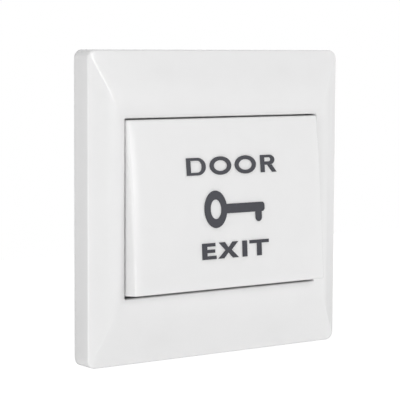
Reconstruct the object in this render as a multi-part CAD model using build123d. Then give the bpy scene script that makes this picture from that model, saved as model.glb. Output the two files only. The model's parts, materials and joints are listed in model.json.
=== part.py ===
# Door exit button for a wall box: a square cover plate round a wide press key.
# X runs to the right, Y into the wall and Z up. The wall plane is y = 0, and the origin is the
# centre of the cover plate on that plane. Heights off the wall are called "out": out = -y, so the
# mechanism inside the wall box has negative values. All sizes are in millimetres.
import os
from math import atan2, cos, pi, radians, sin, tan

from build123d import *

# Cover plate
plate_side = 86.0
plate_corner_radius = 3.0
plate_wall = 2.0
rim_out = 7.0
rim_edge_radius = 0.7
lip_out = 10.0
side_slope_width = 6.0
side_blend_radius = 7.5
end_slope_width = 12.5
end_blend_radius = 30.0
collar_wall = 1.5
collar_back_out = 5.6
opening_corner_radius = 0.6
pry_notch_width = 8.0
pry_notch_depth = 1.4

# Button
button_width = 66.0
button_height = 47.4
button_face_thickness = 2.0
button_skirt_wall = 1.6
button_corner_radius = 1.6
button_edge_radius = 0.6
button_proud = 1.1
side_gap = 0.65
top_gap = 1.25
bottom_gap = 0.75
rest_tilt = 5.3
press_travel = 4.5
rib_thickness = 1.2
rib_height = 2.2
rib_spacing = 26.0
screw_relief_width = 10.0
screw_relief_height = 3.6

# Hinge
hinge_drop = 5.2
hinge_to_face = 5.1
trunnion_radius = 1.5
trunnion_clearance = 0.06
trunnion_collar_radius = 2.4
ear_thickness = 3.0
ear_wall = 1.4
ear_gap = 0.4
ear_mouth = 2.5

# Base plate
base_thickness = 2.5
base_fit_gap = 0.3
base_skirt_gap = 0.94
wall_screw_spacing = 60.3
wall_slot_radius = 2.2
wall_slot_length = 8.0
base_rib_width = 1.2
base_rib_height = 1.5

# Snap hooks of the cover plate
hook_spacing = 40.0
hook_width = 7.0
hook_thickness = 1.4
hook_height_from_edge = 5.7
hook_catch = 1.0
hook_ledge = 1.3
hook_gap = 0.2

# Stop hooks of the button
stop_spacing = 54.0
stop_drop = 37.2
stop_width = 4.0
stop_thickness = 1.6
stop_catch = 1.2
stop_barb = 1.4
stop_gap = 0.3
rest_gap = 0.12

# Contact housing
housing_width = 46.0
housing_height = 42.0
housing_wall = 2.0
housing_corner_radius = 2.5
chamber_depth = 9.6
housing_floor = 1.8
bay_width = 9.6
bay_height = 9.0
bay_wall = 1.5
bay_depth = 6.6
bay_side_margin = 3.7
wire_slot_width = 6.0
screw_tip_recess = 1.0
post_radius = 3.0

# Plunger and its spring
stem_radius = 2.5
stem_clearance = 0.05
guide_radius = 4.2
guide_height = 2.7
plunger_tip_out = 7.6
plunger_dome_radius = 5.0
push_gap = 0.1
push_post_radius = 2.2
collar_radius = 3.4
collar_thickness = 1.65
arm_width = 3.0
spigot_radius = 1.7
spring_wire = 0.5
spring_radius = 2.3
spring_coils = 4.5
spring_steps_per_coil = 12
spring_wire_sides = 6
plunger_spigot_length = 2.0
floor_spigot_length = 2.2

# Contact lever
lever_offset = 6.5
lever_width = 5.0
lever_pivot_drop = 1.1
lever_pivot_depth = 4.0
lever_end_height = -8.0
strip_thickness = 0.8
pin_radius = 0.75
pin_clearance = 0.05
knuckle_wall = 0.8
fork_gap = 0.3
lever_spring_drop = 5.9
lever_spring_radius = 1.35
lever_spring_wire = 0.4
lever_spring_coils = 4.0
lever_spigot_radius = 0.85
lever_spigot_length = 1.2

# Contacts
contact_height = -6.0
contact_radius = 1.5
contact_head = 0.8
contact_shank_radius = 0.8
contact_gap = 0.1
contact_arm_width = 4.0
rest_rib_width = 2.0
rest_rib_gap = 1.5

# Terminals and screws
terminal_width = 8.4
terminal_height = 8.0
tail_width = 4.0
slot_gap = 0.1
wire_gap = 1.4
clamp_width = 7.6
clamp_thickness = 1.0
clamp_lip = 0.7
terminal_screw_radius = 1.5
terminal_thread_gap = 0.05
terminal_head_radius = 2.75
terminal_head_height = 1.8
terminal_head_chamfer = 0.45
terminal_screw_length = 4.0
driver_slot_width = 0.8
driver_slot_depth = 0.9
housing_screw_radius = 1.2
housing_head_radius = 2.2
housing_head_height = 1.3
housing_screw_length = 8.0
pilot_gap = 0.04

# Places that follow from the sizes above
overlap = 0.5
opening_width = button_width + 2 * side_gap
opening_height = button_height + top_gap + bottom_gap
button_top = opening_height / 2 - top_gap
face_out = lip_out + button_proud
hinge_height = button_top - hinge_drop
hinge_out = face_out - hinge_to_face
skirt_back_out = base_thickness + base_skirt_gap
inner_face_out = face_out - button_face_thickness
base_side = plate_side - 2 * (plate_wall + base_fit_gap)
floor_out = -chamber_depth
bay_floor_out = floor_out - housing_floor
bay_offset = housing_height / 2 - bay_wall - bay_height / 2
bay_spacing = housing_width - 2 * (bay_side_margin + bay_wall) - bay_width
trunnion_end = button_width / 2 - button_skirt_wall
ear_outer = trunnion_end - (trunnion_collar_radius - trunnion_radius) - 2 * ear_gap
ear_inner = ear_outer - ear_thickness
hook_height = plate_side / 2 - hook_height_from_edge
post_x = housing_width / 2 - housing_wall - post_radius
post_z = housing_height / 2 - housing_wall - post_radius
lever_pivot_height = bay_offset - terminal_height / 2 - lever_pivot_drop
lever_spring_height = lever_pivot_height - lever_spring_drop
lever_x0 = lever_offset - lever_width / 2
lever_x1 = lever_offset + lever_width / 2
pivot_out = -lever_pivot_depth
lever_front_out = pivot_out + strip_thickness / 2
lever_back_out = lever_front_out - strip_thickness
plunger_stroke = hinge_height * sin(radians(press_travel))
lever_swing = atan2(plunger_stroke, lever_pivot_height)
wall = Plane.XZ

os.makedirs("parts", exist_ok=True)


def plate(sketch, back, front):
    """A solid with the outline sketch as seen from the front, between two distances off the wall."""
    return extrude(wall.offset(back) * sketch, amount=front - back)


def block(x0, x1, z0, z1, back, front):
    """A square-edged block given by its limits."""
    return plate(Pos((x0 + x1) / 2, (z0 + z1) / 2) * Rectangle(x1 - x0, z1 - z0), back, front)


def rod(x, z, radius, back, front):
    """A round rod that points off the wall."""
    return plate(Pos(x, z) * Circle(radius), back, front)


def cross_rod(x0, x1, z, out, radius):
    """A round rod along X."""
    middle = Pos((x0 + x1) / 2, -out, z)
    return middle * Rot(0, 90, 0) * Cylinder(radius, x1 - x0)


def side_profile(points, x0, x1):
    """An outline in the (y, z) plane, given as (out, height) points, drawn out from x0 to x1."""
    outline = Polyline(*[(-out, height) for out, height in points], close=True)
    return extrude(Plane.YZ.offset(x0) * make_face(outline), amount=x1 - x0)


def write(shape, name):
    """Saves one piece under its own name."""
    export_step(shape, "parts/" + name + ".step")


def mirrored(piece):
    """The piece and its mirror image on the other side of the middle."""
    return piece + mirror(piece, about=Plane.YZ)


def swung(shape, angle):
    """The shape turned about the button's hinge, with positive angles pressing it in."""
    axis = Axis((0, -hinge_out, hinge_height), (1, 0, 0))
    return shape.rotate(axis, angle)


def roof_profile(half_width, slope_width, blend_radius, edge_radius, inset):
    """Half-section of the cover plate: side wall, slope, soft blend and flat lip, both sides.

    Inset moves the whole outline inwards, for the hollow behind the wall."""
    slope = atan2(lip_out - rim_out, slope_width)
    side = half_width - inset
    edge = rim_out - inset * tan((radians(90) - slope) / 2)
    top = lip_out - inset
    shoulder = half_width - slope_width - inset * tan(slope / 2)
    back = -overlap if inset else 0.0
    corners = [(side, back), (side, edge), (shoulder, top)]
    radii = [0, edge_radius, blend_radius - inset]
    points = corners + [(-x, out) for x, out in reversed(corners)]
    outline = FilletPolyline(*points, radius=radii + radii[::-1], close=True)
    return make_face(outline)


def roof(inset, edge_radius):
    """The cover plate's outer form, or its hollow when inset by the wall."""
    across = roof_profile(plate_side / 2, side_slope_width, side_blend_radius, edge_radius, inset)
    along = roof_profile(plate_side / 2, end_slope_width, end_blend_radius, edge_radius, inset)
    across_plane = Plane(origin=(0, 0, 0), x_dir=(1, 0, 0), z_dir=(0, 0, -1))
    along_plane = Plane(origin=(0, 0, 0), x_dir=(0, 0, 1), z_dir=(1, 0, 0))
    side = plate_side - 2 * inset
    corner = max(plate_corner_radius - inset, overlap)
    prism = plate(RectangleRounded(side, side, corner), -overlap if inset else 0, lip_out)
    across_solid = extrude(across_plane * across, amount=plate_side, both=True)
    along_solid = extrude(along_plane * along, amount=plate_side, both=True)
    return prism & across_solid & along_solid


def front_frame():
    """The clip-fitted cover: a thin dished plate with a collar round the opening and four hooks."""
    opening = RectangleRounded(opening_width, opening_height, opening_corner_radius)
    collar_width = opening_width + 2 * collar_wall
    collar_height = opening_height + 2 * collar_wall
    collar = plate(Rectangle(collar_width, collar_height), collar_back_out, lip_out - plate_wall / 2)
    shape = roof(0.0, rim_edge_radius) - roof(plate_wall, 0.0) + collar
    shape -= plate(opening, -overlap, lip_out + overlap)
    for x in (-hook_spacing / 2, hook_spacing / 2):
        for side in (-1, 1):
            shape += frame_hook(x, side)
    notch = pry_notch_width / 2
    shape -= block(-notch, notch, -plate_side, -plate_side / 2 + plate_wall + overlap,
                   -overlap, pry_notch_depth)
    return shape


def frame_hook(x, side):
    """One spring hook behind the cover's upper or lower slope, with its barb turned outwards."""
    slope = (lip_out - rim_out) / end_slope_width
    root = rim_out + slope * (plate_side / 2 - hook_height) - plate_wall / 2
    inner = hook_height - hook_thickness
    tip = hook_gap * 2
    catch_out = hook_ledge - hook_gap
    barb = catch_out - tip
    points = [
        (root, inner),
        (tip, inner),
        (tip, hook_height),
        (tip + barb / 3, hook_height + hook_catch),
        (catch_out, hook_height + hook_catch),
        (catch_out, hook_height),
        (root, hook_height),
    ]
    points = [(out, side * height) for out, height in points]
    return side_profile(points, x - hook_width / 2, x + hook_width / 2)


def hook_window(x, side):
    """The stepped window in the base that one cover hook snaps through."""
    half = hook_width / 2 + hook_gap
    low = hook_height - hook_thickness - hook_gap
    high = hook_height + hook_gap
    deep = hook_height + hook_catch + hook_gap
    through = block(x - half, x + half, *sorted((side * low, side * high)),
                    -overlap, base_thickness + overlap)
    ledge = block(x - half, x + half, *sorted((side * low, side * deep)),
                  -overlap, hook_ledge)
    return through + ledge


def button_shell():
    """The button's face and skirts in the flush position, hollow at the back."""
    middle = button_top - button_height / 2
    outer = Pos(0, middle) * RectangleRounded(button_width, button_height, button_corner_radius)
    inner_width = button_width - 2 * button_skirt_wall
    inner_height = button_height - 2 * button_skirt_wall
    inner_radius = max(button_corner_radius - button_skirt_wall, 0) + button_edge_radius
    inner = Pos(0, middle) * RectangleRounded(inner_width, inner_height, inner_radius)
    shape = plate(outer, skirt_back_out, face_out)
    front = shape.faces().sort_by(Axis.Y)[0]
    shape = fillet(front.edges(), button_edge_radius)
    return shape - plate(inner, skirt_back_out - overlap, inner_face_out)


def button_ribs():
    """Stiffening ribs behind the face: two upright and one across behind the push post."""
    top = button_top - button_skirt_wall
    bottom = button_top - button_height + button_skirt_wall
    back = inner_face_out - rib_height
    front = inner_face_out + overlap
    half = rib_thickness / 2
    side = button_width / 2 - button_skirt_wall
    shape = block(-side, side, -half, half, back, front)
    for x in (-rib_spacing / 2, rib_spacing / 2):
        shape += block(x - half, x + half, bottom - overlap, top + overlap, back, front)
    return shape


def trunnion():
    """The right-hand hinge stub inside the skirt, with the collar that keeps the ear centred."""
    collar = cross_rod(ear_outer + ear_gap, trunnion_end + overlap, hinge_height, hinge_out,
                       trunnion_collar_radius)
    stub = cross_rod(ear_inner - ear_gap, trunnion_end + overlap, hinge_height, hinge_out,
                     trunnion_radius)
    return collar + stub


def screw_relief():
    """Cut-out in the right-hand skirt that clears the head of a wall screw."""
    half = screw_relief_width / 2
    front = skirt_back_out + screw_relief_height
    return block(trunnion_end - overlap, button_width / 2 + overlap, -half, half,
                 skirt_back_out - overlap, front)


def push_post():
    """The post behind the face that meets the plunger, drawn in the rest position."""
    rise = hinge_height * sin(radians(rest_tilt))
    front = inner_face_out + rise + overlap
    return rod(0, 0, push_post_radius, plunger_tip_out + push_gap, front)


def stop_hook():
    """The right-hand stop hook of the button, drawn in the rest position, barb behind the base."""
    height = hinge_height - stop_drop
    reach = stop_drop * sin(radians(rest_tilt))
    front = inner_face_out + reach + overlap
    catch = -rest_gap
    x0 = stop_spacing / 2 - stop_width / 2
    low = height - stop_thickness
    points = [
        (front, height),
        (front, low),
        (catch, low),
        (catch, low - stop_catch - stop_gap),
        (catch - stop_barb / 2, low - stop_catch - stop_gap),
        (catch - stop_barb, low),
        (catch - stop_barb, height),
    ]
    return side_profile(points, x0, x0 + stop_width)


def rocker_button():
    """The whole button at rest: tilted out at its lower edge."""
    shape = button_shell() + button_ribs() + mirrored(trunnion()) - mirrored(screw_relief())
    shape = swung(shape, -rest_tilt)
    return shape + push_post() + mirrored(stop_hook())


def stop_window():
    """The right-hand window in the base that a stop hook swings through."""
    height = hinge_height - stop_drop
    half = stop_width / 2 + stop_gap
    x = stop_spacing / 2
    swing_rise = (hinge_out + stop_barb) * sin(radians(press_travel))
    low = height - stop_thickness - stop_gap
    high = height + swing_rise + stop_gap
    return block(x - half, x + half, low, high, -overlap, base_thickness + overlap)


def hinge_ear():
    """The right-hand hinge ear of the base: a springy hook open to the front."""
    bore = trunnion_radius + trunnion_clearance
    outer = bore + ear_wall
    foot = block(ear_inner, ear_outer, hinge_height - outer, hinge_height + outer,
                 base_thickness - overlap, hinge_out)
    shape = foot + cross_rod(ear_inner, ear_outer, hinge_height, hinge_out, outer)
    shape -= cross_rod(ear_inner - overlap, ear_outer + overlap, hinge_height, hinge_out, bore)
    tip = hinge_out + outer
    mouth = ear_mouth / 2
    flare = mouth + tip - hinge_out - bore
    entry = [
        (hinge_out, hinge_height - mouth),
        (hinge_out, hinge_height + mouth),
        (hinge_out + bore, hinge_height + mouth),
        (tip + overlap, hinge_height + flare),
        (tip + overlap, hinge_height - flare),
        (hinge_out + bore, hinge_height - mouth),
    ]
    return shape - side_profile(entry, ear_inner - overlap, ear_outer + overlap)


def mounting_plate():
    """The base: a square plate with an edge rib, slots, windows, ears and the plunger guide."""
    corner = plate_corner_radius - plate_wall + base_fit_gap
    outline = RectangleRounded(base_side, base_side, corner)
    inner = base_side - 2 * base_rib_width
    shape = plate(outline, 0, base_thickness)
    rim = outline - Rectangle(inner, inner)
    shape += plate(rim, base_thickness - overlap, base_thickness + base_rib_height)
    shape += rod(0, 0, guide_radius, base_thickness - overlap, base_thickness + guide_height)
    shape -= rod(0, 0, stem_radius + stem_clearance, -overlap,
                 base_thickness + guide_height + overlap)
    for x in (-wall_screw_spacing / 2, wall_screw_spacing / 2):
        slot = Pos(x, 0) * SlotOverall(wall_slot_length, 2 * wall_slot_radius)
        shape -= plate(slot, -overlap, base_thickness + overlap)
    for x in (-hook_spacing / 2, hook_spacing / 2):
        for side in (-1, 1):
            shape -= hook_window(x, side)
    shape -= mirrored(stop_window())
    shape += mirrored(hinge_ear())
    for x in (-post_x, post_x):
        for z in (-post_z, post_z):
            shape -= rod(x, z, housing_screw_radius + 2 * pilot_gap, -overlap,
                         base_thickness + overlap)
    return shape


def bay_places():
    """Names and centres of the three terminal bays, seen from the front."""
    half = bay_spacing / 2
    return {"com": (0, bay_offset), "no": (half, -bay_offset), "nc": (-half, -bay_offset)}


def contact_housing():
    """The tray behind the base, with its chamber, four posts and three terminal bays."""
    outline = RectangleRounded(housing_width, housing_height, housing_corner_radius)
    inner_width = housing_width - 2 * housing_wall
    inner_height = housing_height - 2 * housing_wall
    inner = RectangleRounded(inner_width, inner_height, housing_corner_radius - overlap)
    shape = plate(outline, bay_floor_out, 0)
    for x, z in bay_places().values():
        shape += terminal_bay(x, z)
    shape -= plate(inner, floor_out, overlap)
    for x in (-post_x, post_x):
        for z in (-post_z, post_z):
            shape += screw_post(x, z)
    for x, z in bay_places().values():
        shape -= bay_hollow(x, z)
    shape += rod(0, 0, spigot_radius, floor_out - overlap, floor_out + floor_spigot_length)
    shape += rod(lever_offset, lever_spring_height, lever_spigot_radius, floor_out - overlap,
                 floor_out + lever_spigot_length)
    shape += contact_rest()
    for x in (-post_x, post_x):
        for z in (-post_z, post_z):
            shape -= rod(x, z, housing_screw_radius + pilot_gap,
                         floor_out + housing_floor, overlap)
    return shape


def terminal_bay(x, z):
    """The raised walls round one terminal on the back of the housing."""
    half = bay_width / 2 + bay_wall
    edge = housing_height / 2
    inner = abs(z) - bay_height / 2 - bay_wall
    low, high = sorted((inner * z / abs(z), edge * z / abs(z)))
    return block(x - half, x + half, low, high, bay_floor_out - bay_depth, bay_floor_out + overlap)


def screw_post(x, z):
    """A corner post of the chamber, joined to both walls."""
    post = rod(x, z, post_radius, floor_out - overlap, 0)
    side_x, side_z = x / abs(x), z / abs(z)
    across = block(*sorted((x, x + side_x * (post_radius + overlap))),
                   *sorted((z - side_z * post_radius, z + side_z * (post_radius + overlap))),
                   floor_out - overlap, 0)
    up = block(*sorted((x - side_x * post_radius, x + side_x * post_radius)),
               *sorted((z, z + side_z * (post_radius + overlap))), floor_out - overlap, 0)
    return post + across + up


def bay_hollow(x, z):
    """The terminal pocket, its wire slot, the screw tip recess and the slot for the tail."""
    side = z / abs(z)
    back = bay_floor_out - bay_depth - overlap
    shape = block(x - bay_width / 2, x + bay_width / 2, z - bay_height / 2, z + bay_height / 2,
                  back, bay_floor_out)
    wire = block(x - wire_slot_width / 2, x + wire_slot_width / 2,
                 *sorted((z, side * housing_height)), back, bay_floor_out - strip_thickness)
    half = terminal_screw_radius + 2 * slot_gap
    recess = block(x - half, x + half, z - half, z + half, bay_floor_out - overlap,
                   bay_floor_out + screw_tip_recess)
    tail_x, tail_z0, tail_z1 = tail_place(x, z)
    tail = block(tail_x - tail_width / 2 - slot_gap, tail_x + tail_width / 2 + slot_gap,
                 tail_z0 - slot_gap, tail_z1 + slot_gap, bay_floor_out - overlap, overlap + floor_out)
    return shape + wire + recess + tail


def tail_place(x, z):
    """Where a terminal's tail passes the floor: its x, and its lower and upper height."""
    side = z / abs(z)
    inner = z - side * terminal_height / 2
    low, high = sorted((inner, inner + side * strip_thickness))
    shift = (terminal_width - tail_width) / 2
    return x - shift * (1 if x > 0 else -1 if x < 0 else 0), low, high


def contact_rest():
    """The rib on the chamber floor that the normally closed strip lies on."""
    top = nc_front_out() - strip_thickness
    x1 = lever_x0 - rest_rib_gap
    half = contact_arm_width / 2
    return block(x1 - rest_rib_width, x1, contact_height - half, contact_height + half,
                 floor_out - overlap, top)


def nc_front_out():
    """Front of the normally closed strip, which holds its contact against the lever's."""
    return lever_front_out + contact_head + contact_gap + contact_head + strip_thickness


def no_face_out():
    """Face of the normally open contact, which the swung lever just reaches."""
    sphere = (contact_radius**2 + contact_head**2) / (2 * contact_head)
    centre = lever_back_out - contact_head + sphere - pivot_out
    drop = lever_pivot_height - contact_height
    swung_centre = centre * cos(lever_swing) - drop * sin(lever_swing)
    return pivot_out + swung_centre - sphere - contact_gap


def plunger():
    """The push stem with its domed tip, stop collar, side arm and spring spigot."""
    collar_front = -rest_gap
    collar_back = collar_front - collar_thickness
    dome = plunger_tip_out - plunger_dome_radius
    stem = rod(0, 0, stem_radius, collar_back, plunger_tip_out)
    tip = Pos(0, -dome, 0) * Sphere(plunger_dome_radius)
    back = rod(0, 0, stem_radius, collar_back, dome)
    shape = back + (stem & tip)
    shape += rod(0, 0, collar_radius, collar_back, collar_front)
    half = arm_width / 2
    shape += block(0, lever_offset, -half, half, collar_back, collar_front)
    nub_centre = lever_front_out + contact_gap + half
    shape += block(lever_offset - half, lever_offset + half, -half, half, nub_centre, collar_front)
    shape += cross_rod(lever_offset - half, lever_offset + half, 0, nub_centre, half)
    return shape + rod(0, 0, spigot_radius, collar_back - plunger_spigot_length, collar_back)


def coil_spring(x, z, back, front, radius, wire, coils):
    """A compression spring along Y: a six-sided wire bent at even steps along a helix."""
    steps = round(coils * spring_steps_per_coil)
    climb = (front - back - wire) / steps
    turn = 2 * pi * coils / steps
    points = [(radius * cos(turn * i), radius * sin(turn * i), climb * i) for i in range(steps + 1)]
    path = Polyline(*points)
    section = Plane(origin=path @ 0, z_dir=path % 0) * RegularPolygon(wire / 2, spring_wire_sides)
    spring = sweep(section, path=path, transition=Transition.RIGHT)
    return Plane(origin=(x, -back - wire / 2, z), z_dir=(0, -1, 0)) * spring


def return_spring():
    """The spring between the plunger's collar and the chamber floor."""
    front = -rest_gap - collar_thickness
    return coil_spring(0, 0, floor_out, front, spring_radius, spring_wire, spring_coils)


def lever_spring():
    """The small spring between the contact lever and the chamber floor."""
    return coil_spring(lever_offset, lever_spring_height, floor_out, lever_back_out,
                       lever_spring_radius, lever_spring_wire, lever_spring_coils)


def contact_lever():
    """The moving contact strip, rolled into a knuckle round its pin."""
    bore = pin_radius + pin_clearance
    knuckle = cross_rod(lever_x0, lever_x1, lever_pivot_height, pivot_out, bore + knuckle_wall)
    strip = block(lever_x0, lever_x1, lever_end_height, lever_pivot_height,
                  lever_back_out, lever_front_out)
    shape = strip + knuckle
    shape -= cross_rod(lever_x0 - overlap, lever_x1 + overlap, lever_pivot_height, pivot_out, bore)
    return shape - rod(lever_offset, contact_height, contact_shank_radius + pilot_gap,
                       lever_back_out - overlap, lever_front_out + overlap)


def dome(base_out, direction):
    """A contact's domed head on a strip, pointing out of the wall (1) or into it (-1)."""
    sphere = (contact_radius**2 + contact_head**2) / (2 * contact_head)
    centre = base_out + direction * (contact_head - sphere)
    ball = Pos(lever_offset, -centre, contact_height) * Sphere(sphere)
    low, high = sorted((base_out, base_out + direction * contact_head))
    return ball & rod(lever_offset, contact_height, contact_radius, low, high)


def lever_contact():
    """The double-headed rivet on the lever's free end."""
    shank = rod(lever_offset, contact_height, contact_shank_radius, lever_back_out, lever_front_out)
    return dome(lever_front_out, 1) + dome(lever_back_out, -1) + shank


def lever_pivot_pin():
    """The pin through the fork's cheeks and the lever's knuckle."""
    reach = fork_gap + strip_thickness
    return cross_rod(lever_x0 - reach, lever_x1 + reach, lever_pivot_height, pivot_out, pin_radius)


def nc_contact():
    """The normally closed rivet, its flat head facing the lever."""
    front = nc_front_out() - strip_thickness
    head = rod(lever_offset, contact_height, contact_radius, front - contact_head, front)
    return head + rod(lever_offset, contact_height, contact_shank_radius, front, nc_front_out())


def no_contact():
    """The normally open rivet, its flat head facing the lever."""
    seat = floor_out + strip_thickness
    head = rod(lever_offset, contact_height, contact_radius, seat, no_face_out())
    return head + rod(lever_offset, contact_height, contact_shank_radius, floor_out, seat)


def terminal_base(name):
    """The screwed end of a terminal with its tail through the floor."""
    x, z = bay_places()[name]
    half_width, half_height = terminal_width / 2, terminal_height / 2
    shape = block(x - half_width, x + half_width, z - half_height, z + half_height,
                  bay_floor_out - strip_thickness, bay_floor_out)
    tail_x, low, high = tail_place(x, z)
    half = tail_width / 2
    shape += block(tail_x - half, tail_x + half, low, high, bay_floor_out - overlap,
                   floor_out + strip_thickness)
    return shape - rod(x, z, terminal_screw_radius + terminal_thread_gap,
                       bay_floor_out - strip_thickness - overlap, bay_floor_out + overlap)


def rivet_hole(back, front):
    """The hole in a strip for a contact's shank."""
    return rod(lever_offset, contact_height, contact_shank_radius + pilot_gap,
               back - overlap, front + overlap)


def no_terminal():
    """The normally open strip, lying on the chamber floor."""
    tail_x, low, high = tail_place(*bay_places()["no"])
    half = tail_width / 2
    arm = contact_arm_width / 2
    back, front = floor_out, floor_out + strip_thickness
    shape = terminal_base("no")
    shape += block(tail_x - half, tail_x + half, low, contact_height + arm, back, front)
    shape += block(lever_offset - arm, tail_x + half, contact_height - arm, contact_height + arm,
                   back, front)
    return shape - rivet_hole(back, front)


def nc_terminal():
    """The normally closed strip, which rises from the floor and crosses in front of the lever."""
    tail_x, low, high = tail_place(*bay_places()["nc"])
    half = tail_width / 2
    arm = contact_arm_width / 2
    front = nc_front_out()
    back = front - strip_thickness
    shape = terminal_base("nc")
    shape += block(tail_x - half, tail_x + half, low, high, floor_out, front)
    shape += block(tail_x - half, tail_x + half, low, contact_height + arm, back, front)
    shape += block(tail_x - half, lever_offset + arm, contact_height - arm, contact_height + arm,
                   back, front)
    return shape - rivet_hole(back, front)


def com_terminal():
    """The common strip, folded up into the fork that carries the lever."""
    tail_x, low, high = tail_place(*bay_places()["com"])
    cheek = lever_pivot_height - pin_radius - pin_clearance - knuckle_wall
    back, front = floor_out, floor_out + strip_thickness
    reach = fork_gap + strip_thickness
    shape = terminal_base("com")
    shape += block(tail_x - tail_width / 2, lever_x1 + reach, cheek, high, back, front)
    for x0 in (lever_x0 - reach, lever_x1 + fork_gap):
        x1 = x0 + strip_thickness
        shape += block(x0, x1, cheek, high, back, pivot_out)
        radius = (high - cheek) / 2
        shape += cross_rod(x0, x1, (high + cheek) / 2, pivot_out, radius)
        shape -= cross_rod(x0 - fork_gap / 2, x1 + fork_gap / 2, lever_pivot_height, pivot_out,
                           pin_radius + pin_clearance / 2)
    return shape


def clamp_plate(name):
    """A wire clamp under the screw head: a square washer with two lips turned to the wire."""
    x, z = bay_places()[name]
    half = clamp_width / 2
    front = bay_floor_out - strip_thickness - wire_gap
    back = front - clamp_thickness
    shape = block(x - half, x + half, z - half, z + half, back, front)
    for side in (-1, 1):
        edge = x + side * half
        lip = sorted((edge, edge - side * strip_thickness))
        shape += block(*lip, z - half, z + half, front - overlap, front + clamp_lip)
    return shape - rod(x, z, terminal_screw_radius + 2 * slot_gap, back - overlap, front + overlap)


def terminal_screw(x, z):
    """One slotted pan-head terminal screw."""
    under = bay_floor_out - strip_thickness - wire_gap - clamp_thickness
    back = under - terminal_head_height
    shape = rod(x, z, terminal_head_radius, back, under)
    shape = chamfer(shape.faces().sort_by(Axis.Y)[-1].edges(), terminal_head_chamfer)
    shape += rod(x, z, terminal_screw_radius, under, under + terminal_screw_length)
    half = driver_slot_width / 2
    return shape - block(x - terminal_head_radius, x + terminal_head_radius, z - half, z + half,
                         back - overlap, back + driver_slot_depth)


def housing_screw(x, z):
    """One flat-headed screw from the base into a post of the housing."""
    top = base_thickness + housing_head_height
    shape = rod(x, z, housing_head_radius, base_thickness, top)
    shape += rod(x, z, housing_screw_radius, base_thickness - housing_screw_length, base_thickness)
    half = driver_slot_width / 2
    return shape - block(x - housing_head_radius, x + housing_head_radius, z - half, z + half,
                         top - driver_slot_depth / 2, top + overlap)


def group(pieces):
    """Like pieces that stay separate solids in one node."""
    return Compound(children=pieces)


write(front_frame(), "front_frame")
write(rocker_button(), "rocker_button")
write(mounting_plate(), "mounting_plate")
write(contact_housing(), "contact_housing")
write(plunger(), "plunger")
write(return_spring(), "return_spring")
write(contact_lever(), "contact_lever")
write(lever_contact(), "lever_contact")
write(lever_pivot_pin(), "lever_pivot_pin")
write(lever_spring(), "lever_spring")
write(com_terminal(), "com_terminal")
write(no_terminal(), "no_terminal")
write(nc_terminal(), "nc_terminal")
write(no_contact(), "no_contact")
write(nc_contact(), "nc_contact")
for bay in bay_places():
    write(clamp_plate(bay), bay + "_clamp_plate")
write(group([terminal_screw(x, z) for x, z in bay_places().values()]), "terminal_screws")
corners = [(x, z) for x in (-post_x, post_x) for z in (-post_z, post_z)]
write(group([housing_screw(x, z) for x, z in corners]), "housing_screws")
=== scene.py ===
import json
import math
from collections import namedtuple

import bmesh
import bpy
import numpy as np
from bpy.props import FloatProperty, FloatVectorProperty, PointerProperty
from bpy.types import Operator, Panel, PropertyGroup
from mathutils import Matrix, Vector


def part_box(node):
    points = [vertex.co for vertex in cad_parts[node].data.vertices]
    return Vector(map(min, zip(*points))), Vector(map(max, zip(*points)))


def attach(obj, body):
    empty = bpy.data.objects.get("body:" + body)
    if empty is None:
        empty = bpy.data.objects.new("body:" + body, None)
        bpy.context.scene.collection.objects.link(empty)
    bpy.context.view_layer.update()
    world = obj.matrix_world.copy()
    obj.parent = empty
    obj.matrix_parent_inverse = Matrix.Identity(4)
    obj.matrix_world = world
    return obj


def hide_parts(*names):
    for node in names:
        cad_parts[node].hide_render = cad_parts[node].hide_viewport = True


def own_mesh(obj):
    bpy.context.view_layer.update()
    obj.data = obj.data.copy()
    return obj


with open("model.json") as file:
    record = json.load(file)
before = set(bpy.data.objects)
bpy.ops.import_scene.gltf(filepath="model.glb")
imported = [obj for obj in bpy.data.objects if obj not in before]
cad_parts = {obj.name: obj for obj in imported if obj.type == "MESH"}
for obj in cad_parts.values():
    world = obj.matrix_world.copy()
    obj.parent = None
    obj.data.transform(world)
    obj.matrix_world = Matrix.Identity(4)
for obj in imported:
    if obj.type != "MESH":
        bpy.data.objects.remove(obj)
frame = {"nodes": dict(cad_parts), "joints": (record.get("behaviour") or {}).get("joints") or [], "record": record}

bl_info = {
    "name": "Door Exit Button",
    "version": (1, 0, 0),
    "blender": (4, 5, 0),
    "location": "View3D > Sidebar > Exit Button",
    "description": "Surfaces, finishes and stage of a wall-mounted door exit button",
    "category": "Object",
}

MM = 0.001

# The frame has a plain material under the name of each slot, so a finish gets this ending.
FINISH_END = "_finish"

# Edges that turn by more than this are drawn sharp, on moulded pieces and on wire.
SHARP = math.radians(32)
SHARP_ON_WIRE = math.radians(50)

# In a solid's copy, points nearer than this are one, and faces within this angle are one face.
SAME_POINT = 0.0005 * MM
SAME_FACE = math.radians(1.0)

# Nearly all of a noise texture lies between these two values.
NOISE_LOW, NOISE_HIGH = 0.3, 0.7

SMALLEST_RADIUS = 0.05 * MM
LEAD = 0.2 * MM             # lead at the end of a round piece
SUNK = 0.3 * MM             # how far ribs and stubs reach into the walls that carry them
SUNK_IN_FACE = 0.5 * MM     # the same for what stands behind the leaning face
NOTCH_STEP = 0.01 * MM      # half the width of the step at a notch's side
NEAR_MIDDLE = 2.0 * MM      # first points beside the middle of a straight side
ROUND_STEPS = 48

# How the plan radius falls from the plate's corner to the mitre along the slope: share of the
# slope's width, and the radius as a multiple of the mitre's.
MITRE_FADE = ((0.16, 2.1), (0.28, 1.4), (0.45, 1.1))

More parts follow.
